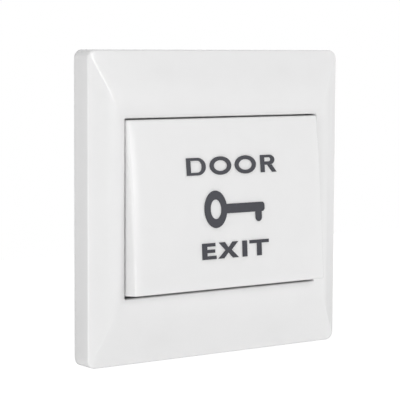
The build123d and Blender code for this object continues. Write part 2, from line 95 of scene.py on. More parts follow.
# Lamps: name, azimuth round the object, height angle, side in metres, power in watts. Azimuth 0
# is straight in front, and it grows towards the right.
LAMPS = (
    ("left_lamp", -82.0, -8.0, 0.5, 1.66),
    ("lower_lamp", -62.0, -20.0, 0.5, 1.3),
    ("upper_lamp", 12.0, 19.0, 0.5, 3.32),
    ("right_lamp", 60.0, -20.0, 0.5, 0.68),
)

# Local axes as columns: across, up and along, where along is the way a shape is built up
FRONT = np.array([[1.0, 0.0, 0.0], [0.0, 0.0, -1.0], [0.0, 1.0, 0.0]])
SIDEWAYS = np.array([[0.0, 0.0, 1.0], [1.0, 0.0, 0.0], [0.0, 1.0, 0.0]])

hinge = next(joint for joint in frame["joints"] if joint["name"] == "button_press")
HINGE_Y, HINGE_Z = hinge["pos_m"][1], hinge["pos_m"][2]
cover_low, cover_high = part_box("front_frame")


def length(name, description, millimetres):
    """A size that a user can change, given in millimetres and kept in metres."""
    return FloatProperty(name=name, description=description, default=millimetres * MM,
                         unit="LENGTH", precision=5)


def angle(name, description, degrees):
    """An angle that a user can change, given in degrees."""
    return FloatProperty(name=name, description=description, default=math.radians(degrees),
                         subtype="ANGLE")


def colour(name, description, value):
    """A linear colour that a user can change."""
    return FloatVectorProperty(name=name, description=description, default=value, size=3,
                               subtype="COLOR", min=0.0, max=1.0)


def amount(name, description, value):
    """A plain number that a user can change."""
    return FloatProperty(name=name, description=description, default=value, min=0.0)


class CoverSizes(PropertyGroup):
    """Sizes of the cover plate."""

    side: length("Side", "Width and height of the plate", (cover_high.x - cover_low.x) / MM)
    corner: length("Corner radius", "Radius of the plate's corners seen from the front", 2.4)
    wall: length("Wall", "Thickness of the plate's walls", 2.0)
    rim_out: length("Rim", "Height of the outer wall off the wall box", 7.03)
    rim_edge: length("Rim edge", "Radius between the outer wall and the slope", 0.7)
    lip_out: length("Lip", "Height of the flat lip round the button", 10.0)
    side_slope: length("Side slope", "Width of the left and right slopes", 6.0)
    side_blend: length("Side blend", "Radius between the side slopes and the lip", 7.5)
    end_slope: length("End slope", "Width of the upper and lower slopes", 12.5)
    end_blend: length("End blend", "Radius between the end slopes and the lip", 30.0)
    mitre: length("Mitre radius", "Radius of the crease between two slopes", 0.4)
    opening_width: length("Opening width", "Width of the opening for the key", 66.3)
    opening_height: length("Opening height", "Height of the opening for the key", 49.0)
    opening_raise: length("Opening raise", "Height of the opening's middle above the plate's", 0.1)
    opening_corner: length("Opening corner", "Radius of the opening's corners", 0.4)
    opening_edge: length("Opening edge", "Radius of the lip's inner edge", 0.25)
    collar_wall: length("Collar wall", "Thickness of the collar round the opening", 1.5)
    collar_back: length("Collar back", "Rear end of the collar off the wall", 5.6)
    notch_width: length("Notch width", "Width of the pry notch below", 8.0)
    notch_depth: length("Notch depth", "Height of the pry notch below", 1.4)
    hook_spacing: length("Hook spacing", "Distance between the two hooks of one edge", 40.0)
    hook_width: length("Hook width", "Width of a snap hook", 7.0)
    hook_thickness: length("Hook thickness", "Thickness of a snap hook", 1.4)
    hook_from_edge: length("Hook place", "Distance of a hook's face from the plate's edge", 5.7)
    hook_catch: length("Hook catch", "How far a hook's barb reaches outwards", 1.0)
    hook_ledge: length("Hook ledge", "Height of the barb's upper side off the wall", 1.1)


class KeySizes(PropertyGroup):
    """Sizes of the press key, in the position flush with the cover."""

    width: length("Width", "Width of the key", 65.8)
    height: length("Height", "Height of the key", 47.43)
    top: length("Top", "Height of the key's upper edge above the plate's middle", 23.78)
    crown: length("Crown", "How far the middle of the face stands proud of its upper and lower "
                  "edges", 0.6)
    face_out: length("Face", "Height of the face off the wall", 11.1)
    face_wall: length("Face wall", "Thickness of the face", 2.0)
    skirt_wall: length("Skirt wall", "Thickness of the skirts", 1.6)
    skirt_out: length("Skirt end", "Rear edge of the skirts off the wall", 3.44)
    corner: length("Corner radius", "Radius of the corners seen from the front", 0.5)
    edge: length("Edge radius", "Radius round the face", 0.7)
    tilt: angle("Rest tilt", "How far the key leans out at rest", 5.3)
    relief_width: length("Relief width", "Width of the skirt's cut-out over a wall screw", 10.0)
    relief_height: length("Relief height", "Height of that cut-out", 3.6)
    rib: length("Rib", "Thickness of the ribs behind the face", 1.2)
    rib_height: length("Rib height", "Height of the ribs behind the face", 2.2)
    rib_spacing: length("Rib spacing", "Distance between the two upright ribs", 26.0)
    post: length("Post radius", "Radius of the post that meets the plunger", 2.2)
    post_out: length("Post end", "Rear end of the post off the wall", 7.7)
    stub: length("Stub radius", "Radius of the hinge stubs", 1.5)
    stub_collar: length("Stub collar", "Radius of the collars beside the hinge ears", 2.4)
    stub_inner: length("Stub end", "Distance of a stub's free end from the middle", 26.3)
    stub_shoulder: length("Stub shoulder", "Distance of a collar's face from the middle", 30.1)
    stop_spacing: length("Stop spacing", "Distance between the two stop hooks", 54.0)
    stop_width: length("Stop width", "Width of a stop hook", 4.0)
    stop_drop: length("Stop drop", "Distance of the stop hooks below the hinge", 37.2)
    stop_thickness: length("Stop thickness", "Thickness of a stop hook", 1.6)
    stop_catch: length("Stop catch", "How far a stop hook's barb reaches down", 1.5)
    stop_barb: length("Stop barb", "Height of a stop hook's barb", 1.4)
    stop_play: length("Stop play", "Clearance between a barb and the base", 0.12)


class PrintSizes(PropertyGroup):
    """Sizes and places of the print on the key's face."""

    ink: length("Ink", "Thickness of the printed ink above and below the face", 0.02)
    upper_word: length("Upper word", "Lower edge of the upper word", 7.82)
    upper_cap: length("Upper height", "Height of the letters of the upper word", 4.9)
    lower_word: length("Lower word", "Lower edge of the lower word", -15.53)
    lower_cap: length("Lower height", "Height of the letters of the lower word", 4.5)
    across: length("Across", "Place of the print's middle to the right of the key's", -0.6)
    raised: length("Raised", "Height of the print above the places given below", 0.21)
    bow_x: length("Bow place", "Middle of the key sign's bow from the middle of the face", -4.79)
    bow_z: length("Bow height", "Middle of the key sign's bow above the plate's middle", -1.78)
    shank_end: length("Shank end", "Tip of the key sign from the middle of the face", 12.3)


class SpringSizes(PropertyGroup):
    """Sizes of the two coil springs."""

    return_radius: length("Return spring", "Middle radius of the return spring", 2.3)
    return_wire: length("Return wire", "Wire thickness of the return spring", 0.5)
    return_turns: amount("Return turns", "Turns of the return spring", 6.0)
    lever_radius: length("Lever spring", "Middle radius of the lever spring", 1.35)
    lever_wire: length("Lever wire", "Wire thickness of the lever spring", 0.4)
    lever_turns: amount("Lever turns", "Turns of the lever spring", 6.0)
    lever_share: amount("Lever share", "Share of the plunger's stroke by which the leaning lever "
                        "shortens its spring", 0.78)


class EdgeSizes(PropertyGroup):
    """Widths of the rounded edges on the pieces behind the cover."""

    moulded: length("Moulded edge", "Edges of the base plate and the contact housing", 0.12)
    strip: length("Strip edge", "Edges of the terminal strips", 0.06)
    clamp_plate: length("Clamp plate edge", "Edges of the clamp plates", 0.1)
    lever: length("Lever edge", "Edges of the contact lever", 0.05)
    terminal_screw: length("Terminal screw edge", "Edges of the terminal screws", 0.08)
    housing_screw: length("Housing screw edge", "Edges of the housing screws", 0.06)


class FinishColours(PropertyGroup):
    """Colours of the finishes."""

    gloss: colour("Glossy white", "Cover plate and key", (0.895, 0.893, 0.894))
    base: colour("Satin white", "Base plate", (0.78, 0.78, 0.77))
    housing: colour("Housing", "Contact housing", (0.745, 0.737, 0.715))
    nylon: colour("Nylon", "Plunger", (0.68, 0.68, 0.62))
    ink: colour("Ink", "Print on the key", (0.03, 0.031, 0.042))
    brass: colour("Brass", "Terminal strips and contact lever", (0.78, 0.6, 0.3))
    silver: colour("Silver", "Contact rivets", (0.82, 0.81, 0.78))
    zinc: colour("Zinc", "Screws and clamp plates", (0.66, 0.67, 0.68))
    spring: colour("Spring steel", "Coil springs and hinge pin", (0.5, 0.5, 0.51))


class StageSettings(PropertyGroup):
    """Camera, floor and lamps."""

    lens: FloatProperty(name="Lens", description="Focal length of the camera",
                        default=150.685, unit="CAMERA")
    sensor: FloatProperty(name="Sensor", description="Width of the camera's sensor",
                          default=36.0, unit="CAMERA")
    yaw: angle("Yaw", "How far the camera looks to the right of the wall's normal", 35.781)
    pitch: angle("Pitch", "How far the camera looks down", 5.21)
    roll: angle("Roll", "How far the camera leans", 0.269)
    camera_x: length("Camera across", "Place of the camera to the right", -278.65)
    camera_y: length("Camera depth", "Place of the camera into the wall", -385.14)
    camera_z: length("Camera height", "Place of the camera above the middle", 43.67)
    floor_drop: length("Floor", "Distance of the floor below the plate's middle", 450.0)
    floor_side: length("Floor side", "Width and depth of the floor", 6000.0)
    floor_tone: amount("Floor tone", "Share of the light that the floor throws back", 0.85)
    floor_glow: amount("Floor glow", "Light that the camera sees on the floor besides", 0.7)
    ambient: amount("Ambient", "Strength of the white surroundings on the object", 0.398)
    lamp_distance: length("Lamp distance", "Distance of the lamps from the object", 900.0)


def grid_quads(rows, columns, wrap_rows):
    """Quads between neighbouring points of a grid whose columns always meet end to end."""
    row = np.arange(rows if wrap_rows else rows - 1)[:, None]
    column = np.arange(columns)[None, :]
    next_row, next_column = (row + 1) % rows, (column + 1) % columns
    corners = [row * columns + column, row * columns + next_column,
               next_row * columns + next_column, next_row * columns + column]
    return np.stack(corners, axis=-1).reshape(-1, 4)


def shell(points, axes=FRONT, origin=(0.0, 0.0, 0.0), ring=False):
    """A closed surface through rows of points (across, up, along) that run anticlockwise.

    Each row is one closed line and the rows follow one another along the shape. A ring joins its
    last row to its first; any other shape gets a flat face on both ends."""
    rows, columns = points.shape[:2]
    faces = grid_quads(rows, columns, ring).tolist()
    if not ring:
        last = (rows - 1) * columns
        faces.append(list(range(columns))[::-1])
        faces.append(list(range(last, last + columns)))
    return points.reshape(-1, 3) @ axes.T + np.array(origin), faces


def shell_with_strips(rows, side):
    """A shell whose front face is made of strips across, so that it can be curved upwards.

    The first points of a row run up the right side and those half a row later run down the left
    one at the same heights. Two of each bound a strip; the rest closes the face at its ends."""
    points, faces = shell(rows)
    front = faces.pop()
    half = len(front) // 2
    right, left = front[:side], front[half:half + side][::-1]
    strips = [[right[i], right[i + 1], left[i + 1], left[i]] for i in range(side - 1)]
    ends = [front[side - 1:half + 1], front[half + side - 1:] + front[:1]]
    return points, faces + strips + ends


def stacked(outline, levels):
    """Rows of one flat outline (across, up) repeated at the given levels along the shape."""
    levels = np.asarray(levels, float)
    rows = np.empty((len(levels), len(outline), 3))
    rows[:, :, :2] = outline
    rows[:, :, 2] = levels[:, None]
    return rows


def turned(radii, levels, columns):
    """Rows of circles: radius times the cosine and sine of the turn, at each level."""
    turn = np.linspace(0, 2 * math.pi, columns, endpoint=False)
    radii, levels = np.asarray(radii, float), np.asarray(levels, float)
    rows = np.empty((len(radii), columns, 3))
    rows[:, :, 0] = radii[:, None] * np.cos(turn)
    rows[:, :, 1] = radii[:, None] * np.sin(turn)
    rows[:, :, 2] = levels[:, None]
    return rows


def swung(shape, turn):
    """A shape turned about the key's hinge: y and z rotate about the hinge line by the angle."""
    points, faces = shape
    y, z = points[:, 1] - HINGE_Y, points[:, 2] - HINGE_Z
    cosine, sine = math.cos(turn), math.sin(turn)
    turned_y = HINGE_Y + y * cosine - z * sine
    turned_z = HINGE_Z + y * sine + z * cosine
    return np.stack([points[:, 0], turned_y, turned_z], axis=1), faces


def crowned(shape, sizes):
    """A shape of the key with the face's crown: points near the face move outwards by
    crown * (1 - u squared), u running from -1 at the lower edge of the face to 1 at the upper."""
    points, faces = shape
    half = sizes.height / 2
    share = (points[:, 2] - sizes.top + half) / half
    near = np.clip((-points[:, 1] - sizes.face_out + sizes.edge) / sizes.edge, 0.0, 1.0)
    rise = sizes.crown * np.maximum(1 - share ** 2, 0.0) * near
    return points - rise[:, None] * np.array([0.0, 1.0, 0.0]), faces


def placed(shape, x, z):
    """A shape moved across and up."""
    points, faces = shape
    return points + np.array([x, 0.0, z]), faces


def mirrored(shape):
    """A shape and its mirror image across the middle, with the image's faces turned back round."""
    points, faces = shape
    image = points * np.array([-1.0, 1.0, 1.0])
    return [shape, (image, [face[::-1] for face in faces])]


def smooth(mesh, sharp_above):
    """Smooth shading, apart from edges that turn by more than the given angle."""
    mesh.polygons.foreach_set("use_smooth", np.ones(len(mesh.polygons), bool))
    mesh.set_sharp_from_angle(angle=sharp_above)


def piece(name, shapes, material, body, sharp_above=SHARP):
    """One object at the origin from closed shapes, riding on a body of the frame."""
    points, faces, start = [], [], 0
    for shape_points, shape_faces in shapes:
        points.append(shape_points)
        faces += [[start + index for index in face] for face in shape_faces]
        start += len(shape_points)
    mesh = bpy.data.meshes.new(name)
    mesh.from_pydata(np.vstack(points).tolist(), [], faces)
    mesh.validate()
    smooth(mesh, sharp_above)
    mesh.materials.append(material)
    made = bpy.data.objects.new(name, mesh)
    bpy.context.scene.collection.objects.link(made)
    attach(made, body)
    return made


# A corner of a section: its place on the section across the plate and on the upright one, the
# edge radius on each, the radius seen from the front, and the number of rows along the edge.
Corner = namedtuple("Corner", "half_x half_z out_x out_z edge_x edge_z plan steps")


def rounded_section(points, radii, steps):
    """A section whose corners are replaced by arcs tangent to the two lines that meet there.

    An arc starts radius * tan(turn / 2) before its corner and follows
    start + radius * (sin a * forward + (1 - cos a) * inward), a running from nought to the turn."""
    forward = points - np.roll(points, 1, axis=0)
    forward /= np.linalg.norm(forward, axis=1, keepdims=True)
    onward = np.roll(forward, -1, axis=0)
    cross = forward[:, 0] * onward[:, 1] - forward[:, 1] * onward[:, 0]
    turn = np.arctan2(cross, np.sum(forward * onward, axis=1))
    inward = np.sign(turn)[:, None] * np.stack([-forward[:, 1], forward[:, 0]], axis=1)
    start = points - forward * (radii * np.tan(np.abs(turn) / 2))[:, None]
    stations = []
    for i, count in enumerate(steps):
        a = (np.abs(turn[i]) * np.linspace(0, 1, count))[:, None]
        arc = np.sin(a) * forward[i] + (1 - np.cos(a)) * inward[i]
        stations.append(start[i] + radii[i] * arc)
    return np.vstack(stations)


def section_stations(corners):
    """Half-widths, half-heights, heights off the wall and plan radii for every row of a shell.

    The section across the plate and the one along it are rounded with equal steps. Where an edge
    radius is no larger than the plan radius, the rows stay parallel, so the plan radius shrinks
    by as much as the half-width does."""
    table = np.array(corners, float)
    steps = table[:, 7].astype(int)
    across = rounded_section(table[:, [0, 2]], table[:, 4], steps)
    upright = rounded_section(table[:, [1, 3]], table[:, 5], steps)
    plan = np.repeat(table[:, 6], steps)
    parallel = np.repeat(table[:, 4] <= table[:, 6], steps)
    shrink = np.where(parallel, across[:, 0] - np.repeat(table[:, 0], steps), 0.0)
    plan = np.maximum(plan + shrink, SMALLEST_RADIUS)
    return across[:, 0], upright[:, 0], across[:, 1], upright[:, 1], plan


def straight_places(half_lengths, fixed, steps):
    """Places along straight sides: fixed ones near the middle, then even steps to both ends."""
    reach = half_lengths[:, None] - fixed[-1]
    outer = fixed[-1] + reach * np.linspace(0, 1, steps + 1)[None, 1:]
    inner = np.broadcast_to(fixed, (len(half_lengths), len(fixed)))
    half = np.hstack([inner, outer])
    return np.hstack([-half[:, ::-1], half])


def plate_rows(corners, fixed_x, fixed_z, middle_z=0.0, steps=10, arc_steps=9):
    """Rows of rounded rectangles whose sides and heights follow the corners of a section.

    A point on a straight side keeps that side's height. On a corner's arc, at angle a, the height
    is cos(a) squared times the side section's plus sin(a) squared times the end section's."""
    half_x, half_z, out_x, out_z, plan = section_stations(corners)
    quarter = np.linspace(0, math.pi / 2, arc_steps + 1)[None, 1:-1]
    across, up, out = [], [], []
    for k in range(4):
        upright = k % 2 == 0
        reach, run = (half_x, half_z) if upright else (half_z, half_x)
        along = straight_places(run - plan, fixed_z if upright else fixed_x, steps)
        cosine, sine = round(math.cos(k * math.pi / 2)), round(math.sin(k * math.pi / 2))
        across.append(cosine * reach[:, None] - sine * along)
        up.append(sine * reach[:, None] + cosine * along)
        level = out_x if upright else out_z
        out.append(np.broadcast_to(level[:, None], along.shape))
        turn = quarter + k * math.pi / 2
        centre_x = (cosine * (reach - plan) - sine * (run - plan))[:, None]
        centre_z = (sine * (reach - plan) + cosine * (run - plan))[:, None]
        across.append(centre_x + plan[:, None] * np.cos(turn))
        up.append(centre_z + plan[:, None] * np.sin(turn))
        share = np.cos(turn) ** 2
        out.append(out_x[:, None] * share + out_z[:, None] * (1 - share))
    return np.stack([np.hstack(across), np.hstack(up) + middle_z, np.hstack(out)], axis=-1)


def beside_notch(half_width):
    """Places along a side with a notch: one in the notch, and one on each side of its step."""
    return np.array([0.5 * half_width, half_width - NOTCH_STEP, half_width + NOTCH_STEP])


def cover_corners(sizes):
    """Corners of the cover's closed section: up the outer wall, over the slope and the lip, down
    the opening, round the collar and back along the inside of the walls."""
    half = sizes.side / 2
    rise = sizes.lip_out - sizes.rim_out
    hollow_out = sizes.lip_out - sizes.wall
    past_notch = 1.3 * sizes.notch_depth
    rear_edge, inner_corner = 0.15 * MM, 1.0 * MM
    slopes = [sizes.side_slope, sizes.end_slope]
    blends = [sizes.side_blend, sizes.end_blend]
    openings = [sizes.opening_width / 2, sizes.opening_height / 2]
    lean = [math.atan2(rise, slope) for slope in slopes]
    knees = [half - slope - sizes.wall * math.tan(a / 2) for slope, a in zip(slopes, lean)]
    rims = [sizes.rim_out - sizes.wall * math.tan((math.pi / 2 - a) / 2) for a in lean]
    collars = [opening + sizes.collar_wall for opening in openings]
    inner = half - sizes.wall

    def level(x, z, out, edge, plan, steps):
        """A corner at one height and with one edge radius on both sections."""
        return Corner(x, z, out, out, edge, edge, plan, steps)

    def on_slope(share, times):
        """A row that lies on the slopes, at a share of their width from the plate's edge."""
        x, z = (half - share * slope for slope in slopes)
        return level(x, z, sizes.rim_out + share * rise, 0.0, times * sizes.mitre, 1)

    return [
        level(half, half, 0.0, rear_edge, sizes.corner, 3),
        level(half, half, past_notch, 0.0, sizes.corner, 1),
        level(half, half, sizes.rim_out, sizes.rim_edge, sizes.corner, 8),
        *[on_slope(share, times) for share, times in MITRE_FADE],
        Corner(half - slopes[0], half - slopes[1], sizes.lip_out, sizes.lip_out, *blends,
               sizes.mitre, 14),
        level(*openings, sizes.lip_out, sizes.opening_edge, sizes.opening_corner, 5),
        level(*openings, sizes.collar_back, rear_edge, sizes.opening_corner, 3),
        level(*collars, sizes.collar_back, rear_edge, sizes.opening_corner, 3),
        level(*collars, hollow_out, SMALLEST_RADIUS, sizes.opening_corner, 1),
        Corner(*knees, hollow_out, hollow_out, blends[0] - sizes.wall, blends[1] - sizes.wall,
               sizes.mitre, 8),
        Corner(inner, inner, *rims, rear_edge, rear_edge, inner_corner, 3),
        level(inner, inner, past_notch, 0.0, inner_corner, 1),
        level(inner, inner, 0.0, rear_edge, inner_corner, 3),
    ]


def cover_shell(sizes):
    """The cover: rounded rectangles along a closed section, with the pry notch cut out below.

    In the notch every point nearer to the wall than its depth is lifted to that depth. All rows
    of the opening and its collar stand a little higher than the plate's middle."""
    half_notch = sizes.notch_width / 2
    fixed_x = beside_notch(half_notch)
    rows = plate_rows(cover_corners(sizes), fixed_x, np.array([NEAR_MIDDLE]))
    inside_wall = sizes.side / 2 - 1.5 * sizes.wall
    in_notch = (np.abs(rows[..., 0]) < half_notch) & (rows[..., 1] < -inside_wall)
    rows[..., 2] = np.where(in_notch, np.maximum(rows[..., 2], sizes.notch_depth), rows[..., 2])
    past_collar = sizes.opening_height / 2 + 1.1 * sizes.collar_wall
    rows[rows[..., 1].max(axis=1) < past_collar, :, 1] += sizes.opening_raise
    return shell(rows, ring=True)


def cover_hook(sizes, x, side):
    """One snap hook: its outline (y, z) carried along X. The lower hooks are the upper ones with
    z turned round, and their outline runs the other way."""
    face = sizes.side / 2 - sizes.hook_from_edge
    rise = (sizes.lip_out - sizes.rim_out) / sizes.end_slope
    root = sizes.rim_out + rise * sizes.hook_from_edge - sizes.wall / 2
    tip, ledge = 0.4 * MM, sizes.hook_ledge
    barb = face + sizes.hook_catch
    outline = np.array([
        (root, face - sizes.hook_thickness),
        (tip, face - sizes.hook_thickness),
        (tip, face),
        (tip + (ledge - tip) / 3, barb),
        (ledge, barb),
        (ledge, face),
        (root, face),
    ]) * np.array([-1.0, side])
    outline = outline if side > 0 else outline[::-1]
    ends = [x - sizes.hook_width / 2, x + sizes.hook_width / 2]
    return shell(stacked(outline, ends), SIDEWAYS)


def key_corners(sizes):
    """Corners of the key's open section: from behind the face, down inside the skirt, round its
    rear edge, up outside and over the edge of the face."""
    half_x, half_z = sizes.width / 2, sizes.height / 2
    wall, inner_plan = sizes.skirt_wall, sizes.edge
    rear_edge, inner_edge, flat = 0.2 * MM, 0.3 * MM, 3.0 * MM
    inner_out = sizes.face_out - sizes.face_wall
    past_relief = sizes.skirt_out + 1.02 * sizes.relief_height

    def level(inset, out, edge, plan, steps):
        """A corner set in equally from the key's sides and ends."""
        return Corner(half_x - inset, half_z - inset, out, out, edge, edge, plan, steps)

    return [
        level(wall + flat, inner_out, 0.0, inner_plan, 1),
        level(wall, inner_out, inner_edge, inner_plan, 4),
        level(wall, past_relief, 0.0, inner_plan, 1),
        level(wall, sizes.skirt_out, rear_edge, inner_plan, 3),
        level(0.0, sizes.skirt_out, rear_edge, sizes.corner, 3),
        level(0.0, past_relief, 0.0, sizes.corner, 1),
        level(0.0, sizes.face_out, sizes.edge, sizes.corner, 9),
        level(flat, sizes.face_out, 0.0, sizes.corner - sizes.edge, 1),
    ]


def key_shell(sizes):
    """The key's face and skirts: rounded rectangles along an open section, closed front and back.

    Beside the wall screws each point nearer to the wall than the relief is lifted to its edge."""
    middle = sizes.top - sizes.height / 2
    half_relief = sizes.relief_width / 2
    fixed_z = beside_notch(half_relief)
    steps = 8
    rows = plate_rows(key_corners(sizes), np.array([NEAR_MIDDLE]), fixed_z, middle, steps)
    inside_skirt = sizes.width / 2 - 1.5 * sizes.skirt_wall
    at_screw = np.abs(rows[..., 1] - middle) < half_relief
    in_relief = at_screw & (np.abs(rows[..., 0]) > inside_skirt)
    edge = sizes.skirt_out + sizes.relief_height
    rows[..., 2] = np.where(in_relief, np.maximum(rows[..., 2], edge), rows[..., 2])
    return shell_with_strips(rows, 2 * (len(fixed_z) + steps))


def bar(x0, x1, z0, z1, back, front):
    """A straight bar between two distances off the wall."""
    outline = np.array([(x0, z0), (x1, z0), (x1, z1), (x0, z1)])
    return shell(stacked(outline, [back, front]))


def key_ribs(sizes):
    """Three ribs behind the face, each a straight bar."""
    inner_out = sizes.face_out - sizes.face_wall
    back, front = inner_out - sizes.rib_height, inner_out + SUNK
    half = sizes.rib / 2
    side = sizes.width / 2 - sizes.skirt_wall + SUNK
    top = sizes.top - sizes.skirt_wall + SUNK
    bottom = sizes.top - sizes.height + sizes.skirt_wall - SUNK
    ribs = [bar(-side, side, -half, half, back, front)]
    for x in (-sizes.rib_spacing / 2, sizes.rib_spacing / 2):
        ribs.append(bar(x - half, x + half, bottom, top, back, front))
    return ribs


def key_stub(sizes):
    """The right-hand hinge stub and its collar: circles along X with a small lead at the end."""
    root = sizes.width / 2 - sizes.skirt_wall + SUNK
    radii = [sizes.stub - LEAD, sizes.stub, sizes.stub, sizes.stub_collar - LEAD,
             sizes.stub_collar, sizes.stub_collar]
    levels = [sizes.stub_inner, sizes.stub_inner + LEAD, sizes.stub_shoulder,
              sizes.stub_shoulder, sizes.stub_shoulder + LEAD, root]
    return shell(turned(radii, levels, ROUND_STEPS), SIDEWAYS, (0.0, HINGE_Y, HINGE_Z))


def key_post(sizes):
    """The post that meets the plunger: circles along the wall's normal."""
    inner_out = sizes.face_out - sizes.face_wall
    front = inner_out + HINGE_Z * math.sin(sizes.tilt) + SUNK_IN_FACE
    radii = [sizes.post - LEAD, sizes.post, sizes.post]
    levels = [sizes.post_out, sizes.post_out + LEAD, front]
    return shell(turned(radii, levels, ROUND_STEPS))


def key_stop(sizes):
    """The right-hand stop hook: its outline (y, z) carried along X."""
    height = HINGE_Z - sizes.stop_drop
    low = height - sizes.stop_thickness
    inner_out = sizes.face_out - sizes.face_wall
    front = inner_out + sizes.stop_drop * math.sin(sizes.tilt) + SUNK_IN_FACE
    catch = -sizes.stop_play
    outline = np.array([
        (-front, height),
        (-front, low),
        (-catch, low),
        (-catch, low - sizes.stop_catch),
        (-catch + sizes.stop_barb / 2, low - sizes.stop_catch),
        (-catch + sizes.stop_barb, low),
        (-catch + sizes.stop_barb, height),
    ])
    middle, half = sizes.stop_spacing / 2, sizes.stop_width / 2
    return shell(stacked(outline, [middle - half, middle + half]), SIDEWAYS)


def arc(centre, radii, first, last, steps):
    """Points centre + (rx * cos a, rz * sin a) on an ellipse, a in degrees from first to last."""
    a = np.radians(np.linspace(first, last, steps))
    return np.stack([centre[0] + radii[0] * np.cos(a), centre[1] + radii[1] * np.sin(a)], axis=1)


def slab(outline, levels):
    """A printed shape with one outline, given in millimetres and running anticlockwise."""
    return shell(stacked(np.asarray(outline) * MM, levels))


def band(outer, inner, levels):
    """A printed ring between two outlines with equally many points, given in millimetres."""
    low, high = levels
    rows = [stacked(outer * MM, [low, high]), stacked(inner * MM, [high, low])]
    return shell(np.concatenate(rows), ring=True)


def oval(centre_x, centre_z, radius_x, radius_z):
    """A closed ellipse."""
    steps = 120
    return arc((centre_x, centre_z), (radius_x, radius_z), 0, 360 - 360 / steps, steps)


def bowl(left, right, low, high, bend):
    """The outline of a letter's bowl: a straight left side, then half an ellipse on the right."""
    middle = (low + high) / 2
    curve = arc((bend, middle), (right - bend, (high - low) / 2), -90, 90, steps=41)
    return np.vstack([[(left, low)], curve, [(left, high)]])


def upper_word(low, cap, levels):
    """The four letters of the upper word, wide and bold, from rings, bowls and bars.

    The numbers are places across, in millimetres from the print's middle, and stroke widths."""
    high = low + cap
    over = 0.12
    middle = (low + high) / 2
    shapes = [band(bowl(-14.03, -7.38, low, high - 0.05, -10.2),
                   bowl(-12.5, -8.84, low + 0.78, high - 0.84, -10.3), levels)]
    for left, right in ((-6.16, 1.38), (2.5, 10.07)):
        centre, half = (left + right) / 2, (right - left) / 2
        shapes.append(band(oval(centre, middle, half, cap / 2 + over),
                           oval(centre, middle, half - 1.52, cap / 2 + over - 1.09), levels))
    waist = low + 2.1
    shapes.append(band(bowl(11.54, 16.74, waist, high, 14.9),
                       bowl(13.13, 15.24, waist + 0.92, high - 0.74, 14.6), levels))
    shapes.append(slab([(11.54, low), (13.13, low), (13.13, waist), (11.54, waist)], levels))
    shapes.append(slab([(15.6, low), (17.28, low), (15.68, waist), (13.95, waist)], levels))
    return shapes


def lower_word(low, cap, levels):
    """The four letters of the lower word, each one straight-sided outline in millimetres."""
    high, middle = low + cap, low + cap / 2
    arm, stem = 0.95, 1.8
    left, right = -10.03, -5.14
    letter_e = [(left, low), (right, low), (right, low + arm), (left + stem, low + arm),
                (left + stem, middle - arm / 2), (-5.55, middle - arm / 2),
                (-5.55, middle + arm / 2), (left + stem, middle + arm / 2),
                (left + stem, high - arm), (-5.4, high - arm), (-5.4, high), (left, high)]
    letter_x = [(-4.62, low), (-2.49, low), (-0.98, middle - 0.73), (0.47, low), (2.63, low),
                (0.16, middle), (2.51, high), (0.39, high), (-0.92, middle + 0.71),
                (-2.1, high), (-4.3, high), (-2.06, middle)]
    letter_i = [(3.84, low), (5.62, low), (5.62, high), (3.84, high)]
    letter_t = [(8.96, low), (10.75, low), (10.75, high - arm), (13.35, high - arm),
                (13.35, high), (6.38, high), (6.38, high - arm), (8.96, high - arm)]
    return [slab(letter, levels) for letter in (letter_e, letter_x, letter_i, letter_t)]


def key_sign(bow_x, bow_z, end, levels):
    """The key sign: an oval bow with an oval hole, and a shank with a rounded tip and one bit.

    The shank begins on the bow's own ellipse, x = bow + a * sqrt(1 - (z / b) squared)."""
    bow = (3.92, 5.2)
    high, low = bow_z + 1.33, bow_z - 1.33
    z = np.linspace(high, low, 9)
    start_x = bow_x + bow[0] * np.sqrt(1 - ((z - bow_z) / bow[1]) ** 2)
    bit_left, bit_right, bit_low = end - 3.42, end - 1.1, bow_z - 4.12
    bit_half = (bit_right - bit_left) / 2
    tip = 0.95
    outline = np.vstack([
        np.stack([start_x, z], axis=1),
        [(bit_left, low)],
        arc((bit_left + bit_half, bit_low + bit_half), (bit_half, bit_half), 180, 360, 21),
        [(bit_right, low)],
        arc((end - tip, low + tip), (tip, tip), -70, 0, 8),
        arc((end - tip, high - tip), (tip, tip), 0, 90, 10),
    ])
    ring = band(oval(bow_x, bow_z, *bow), oval(bow_x + 0.05, bow_z, 1.8, 2.7), levels)
    return [ring, slab(outline, levels)]


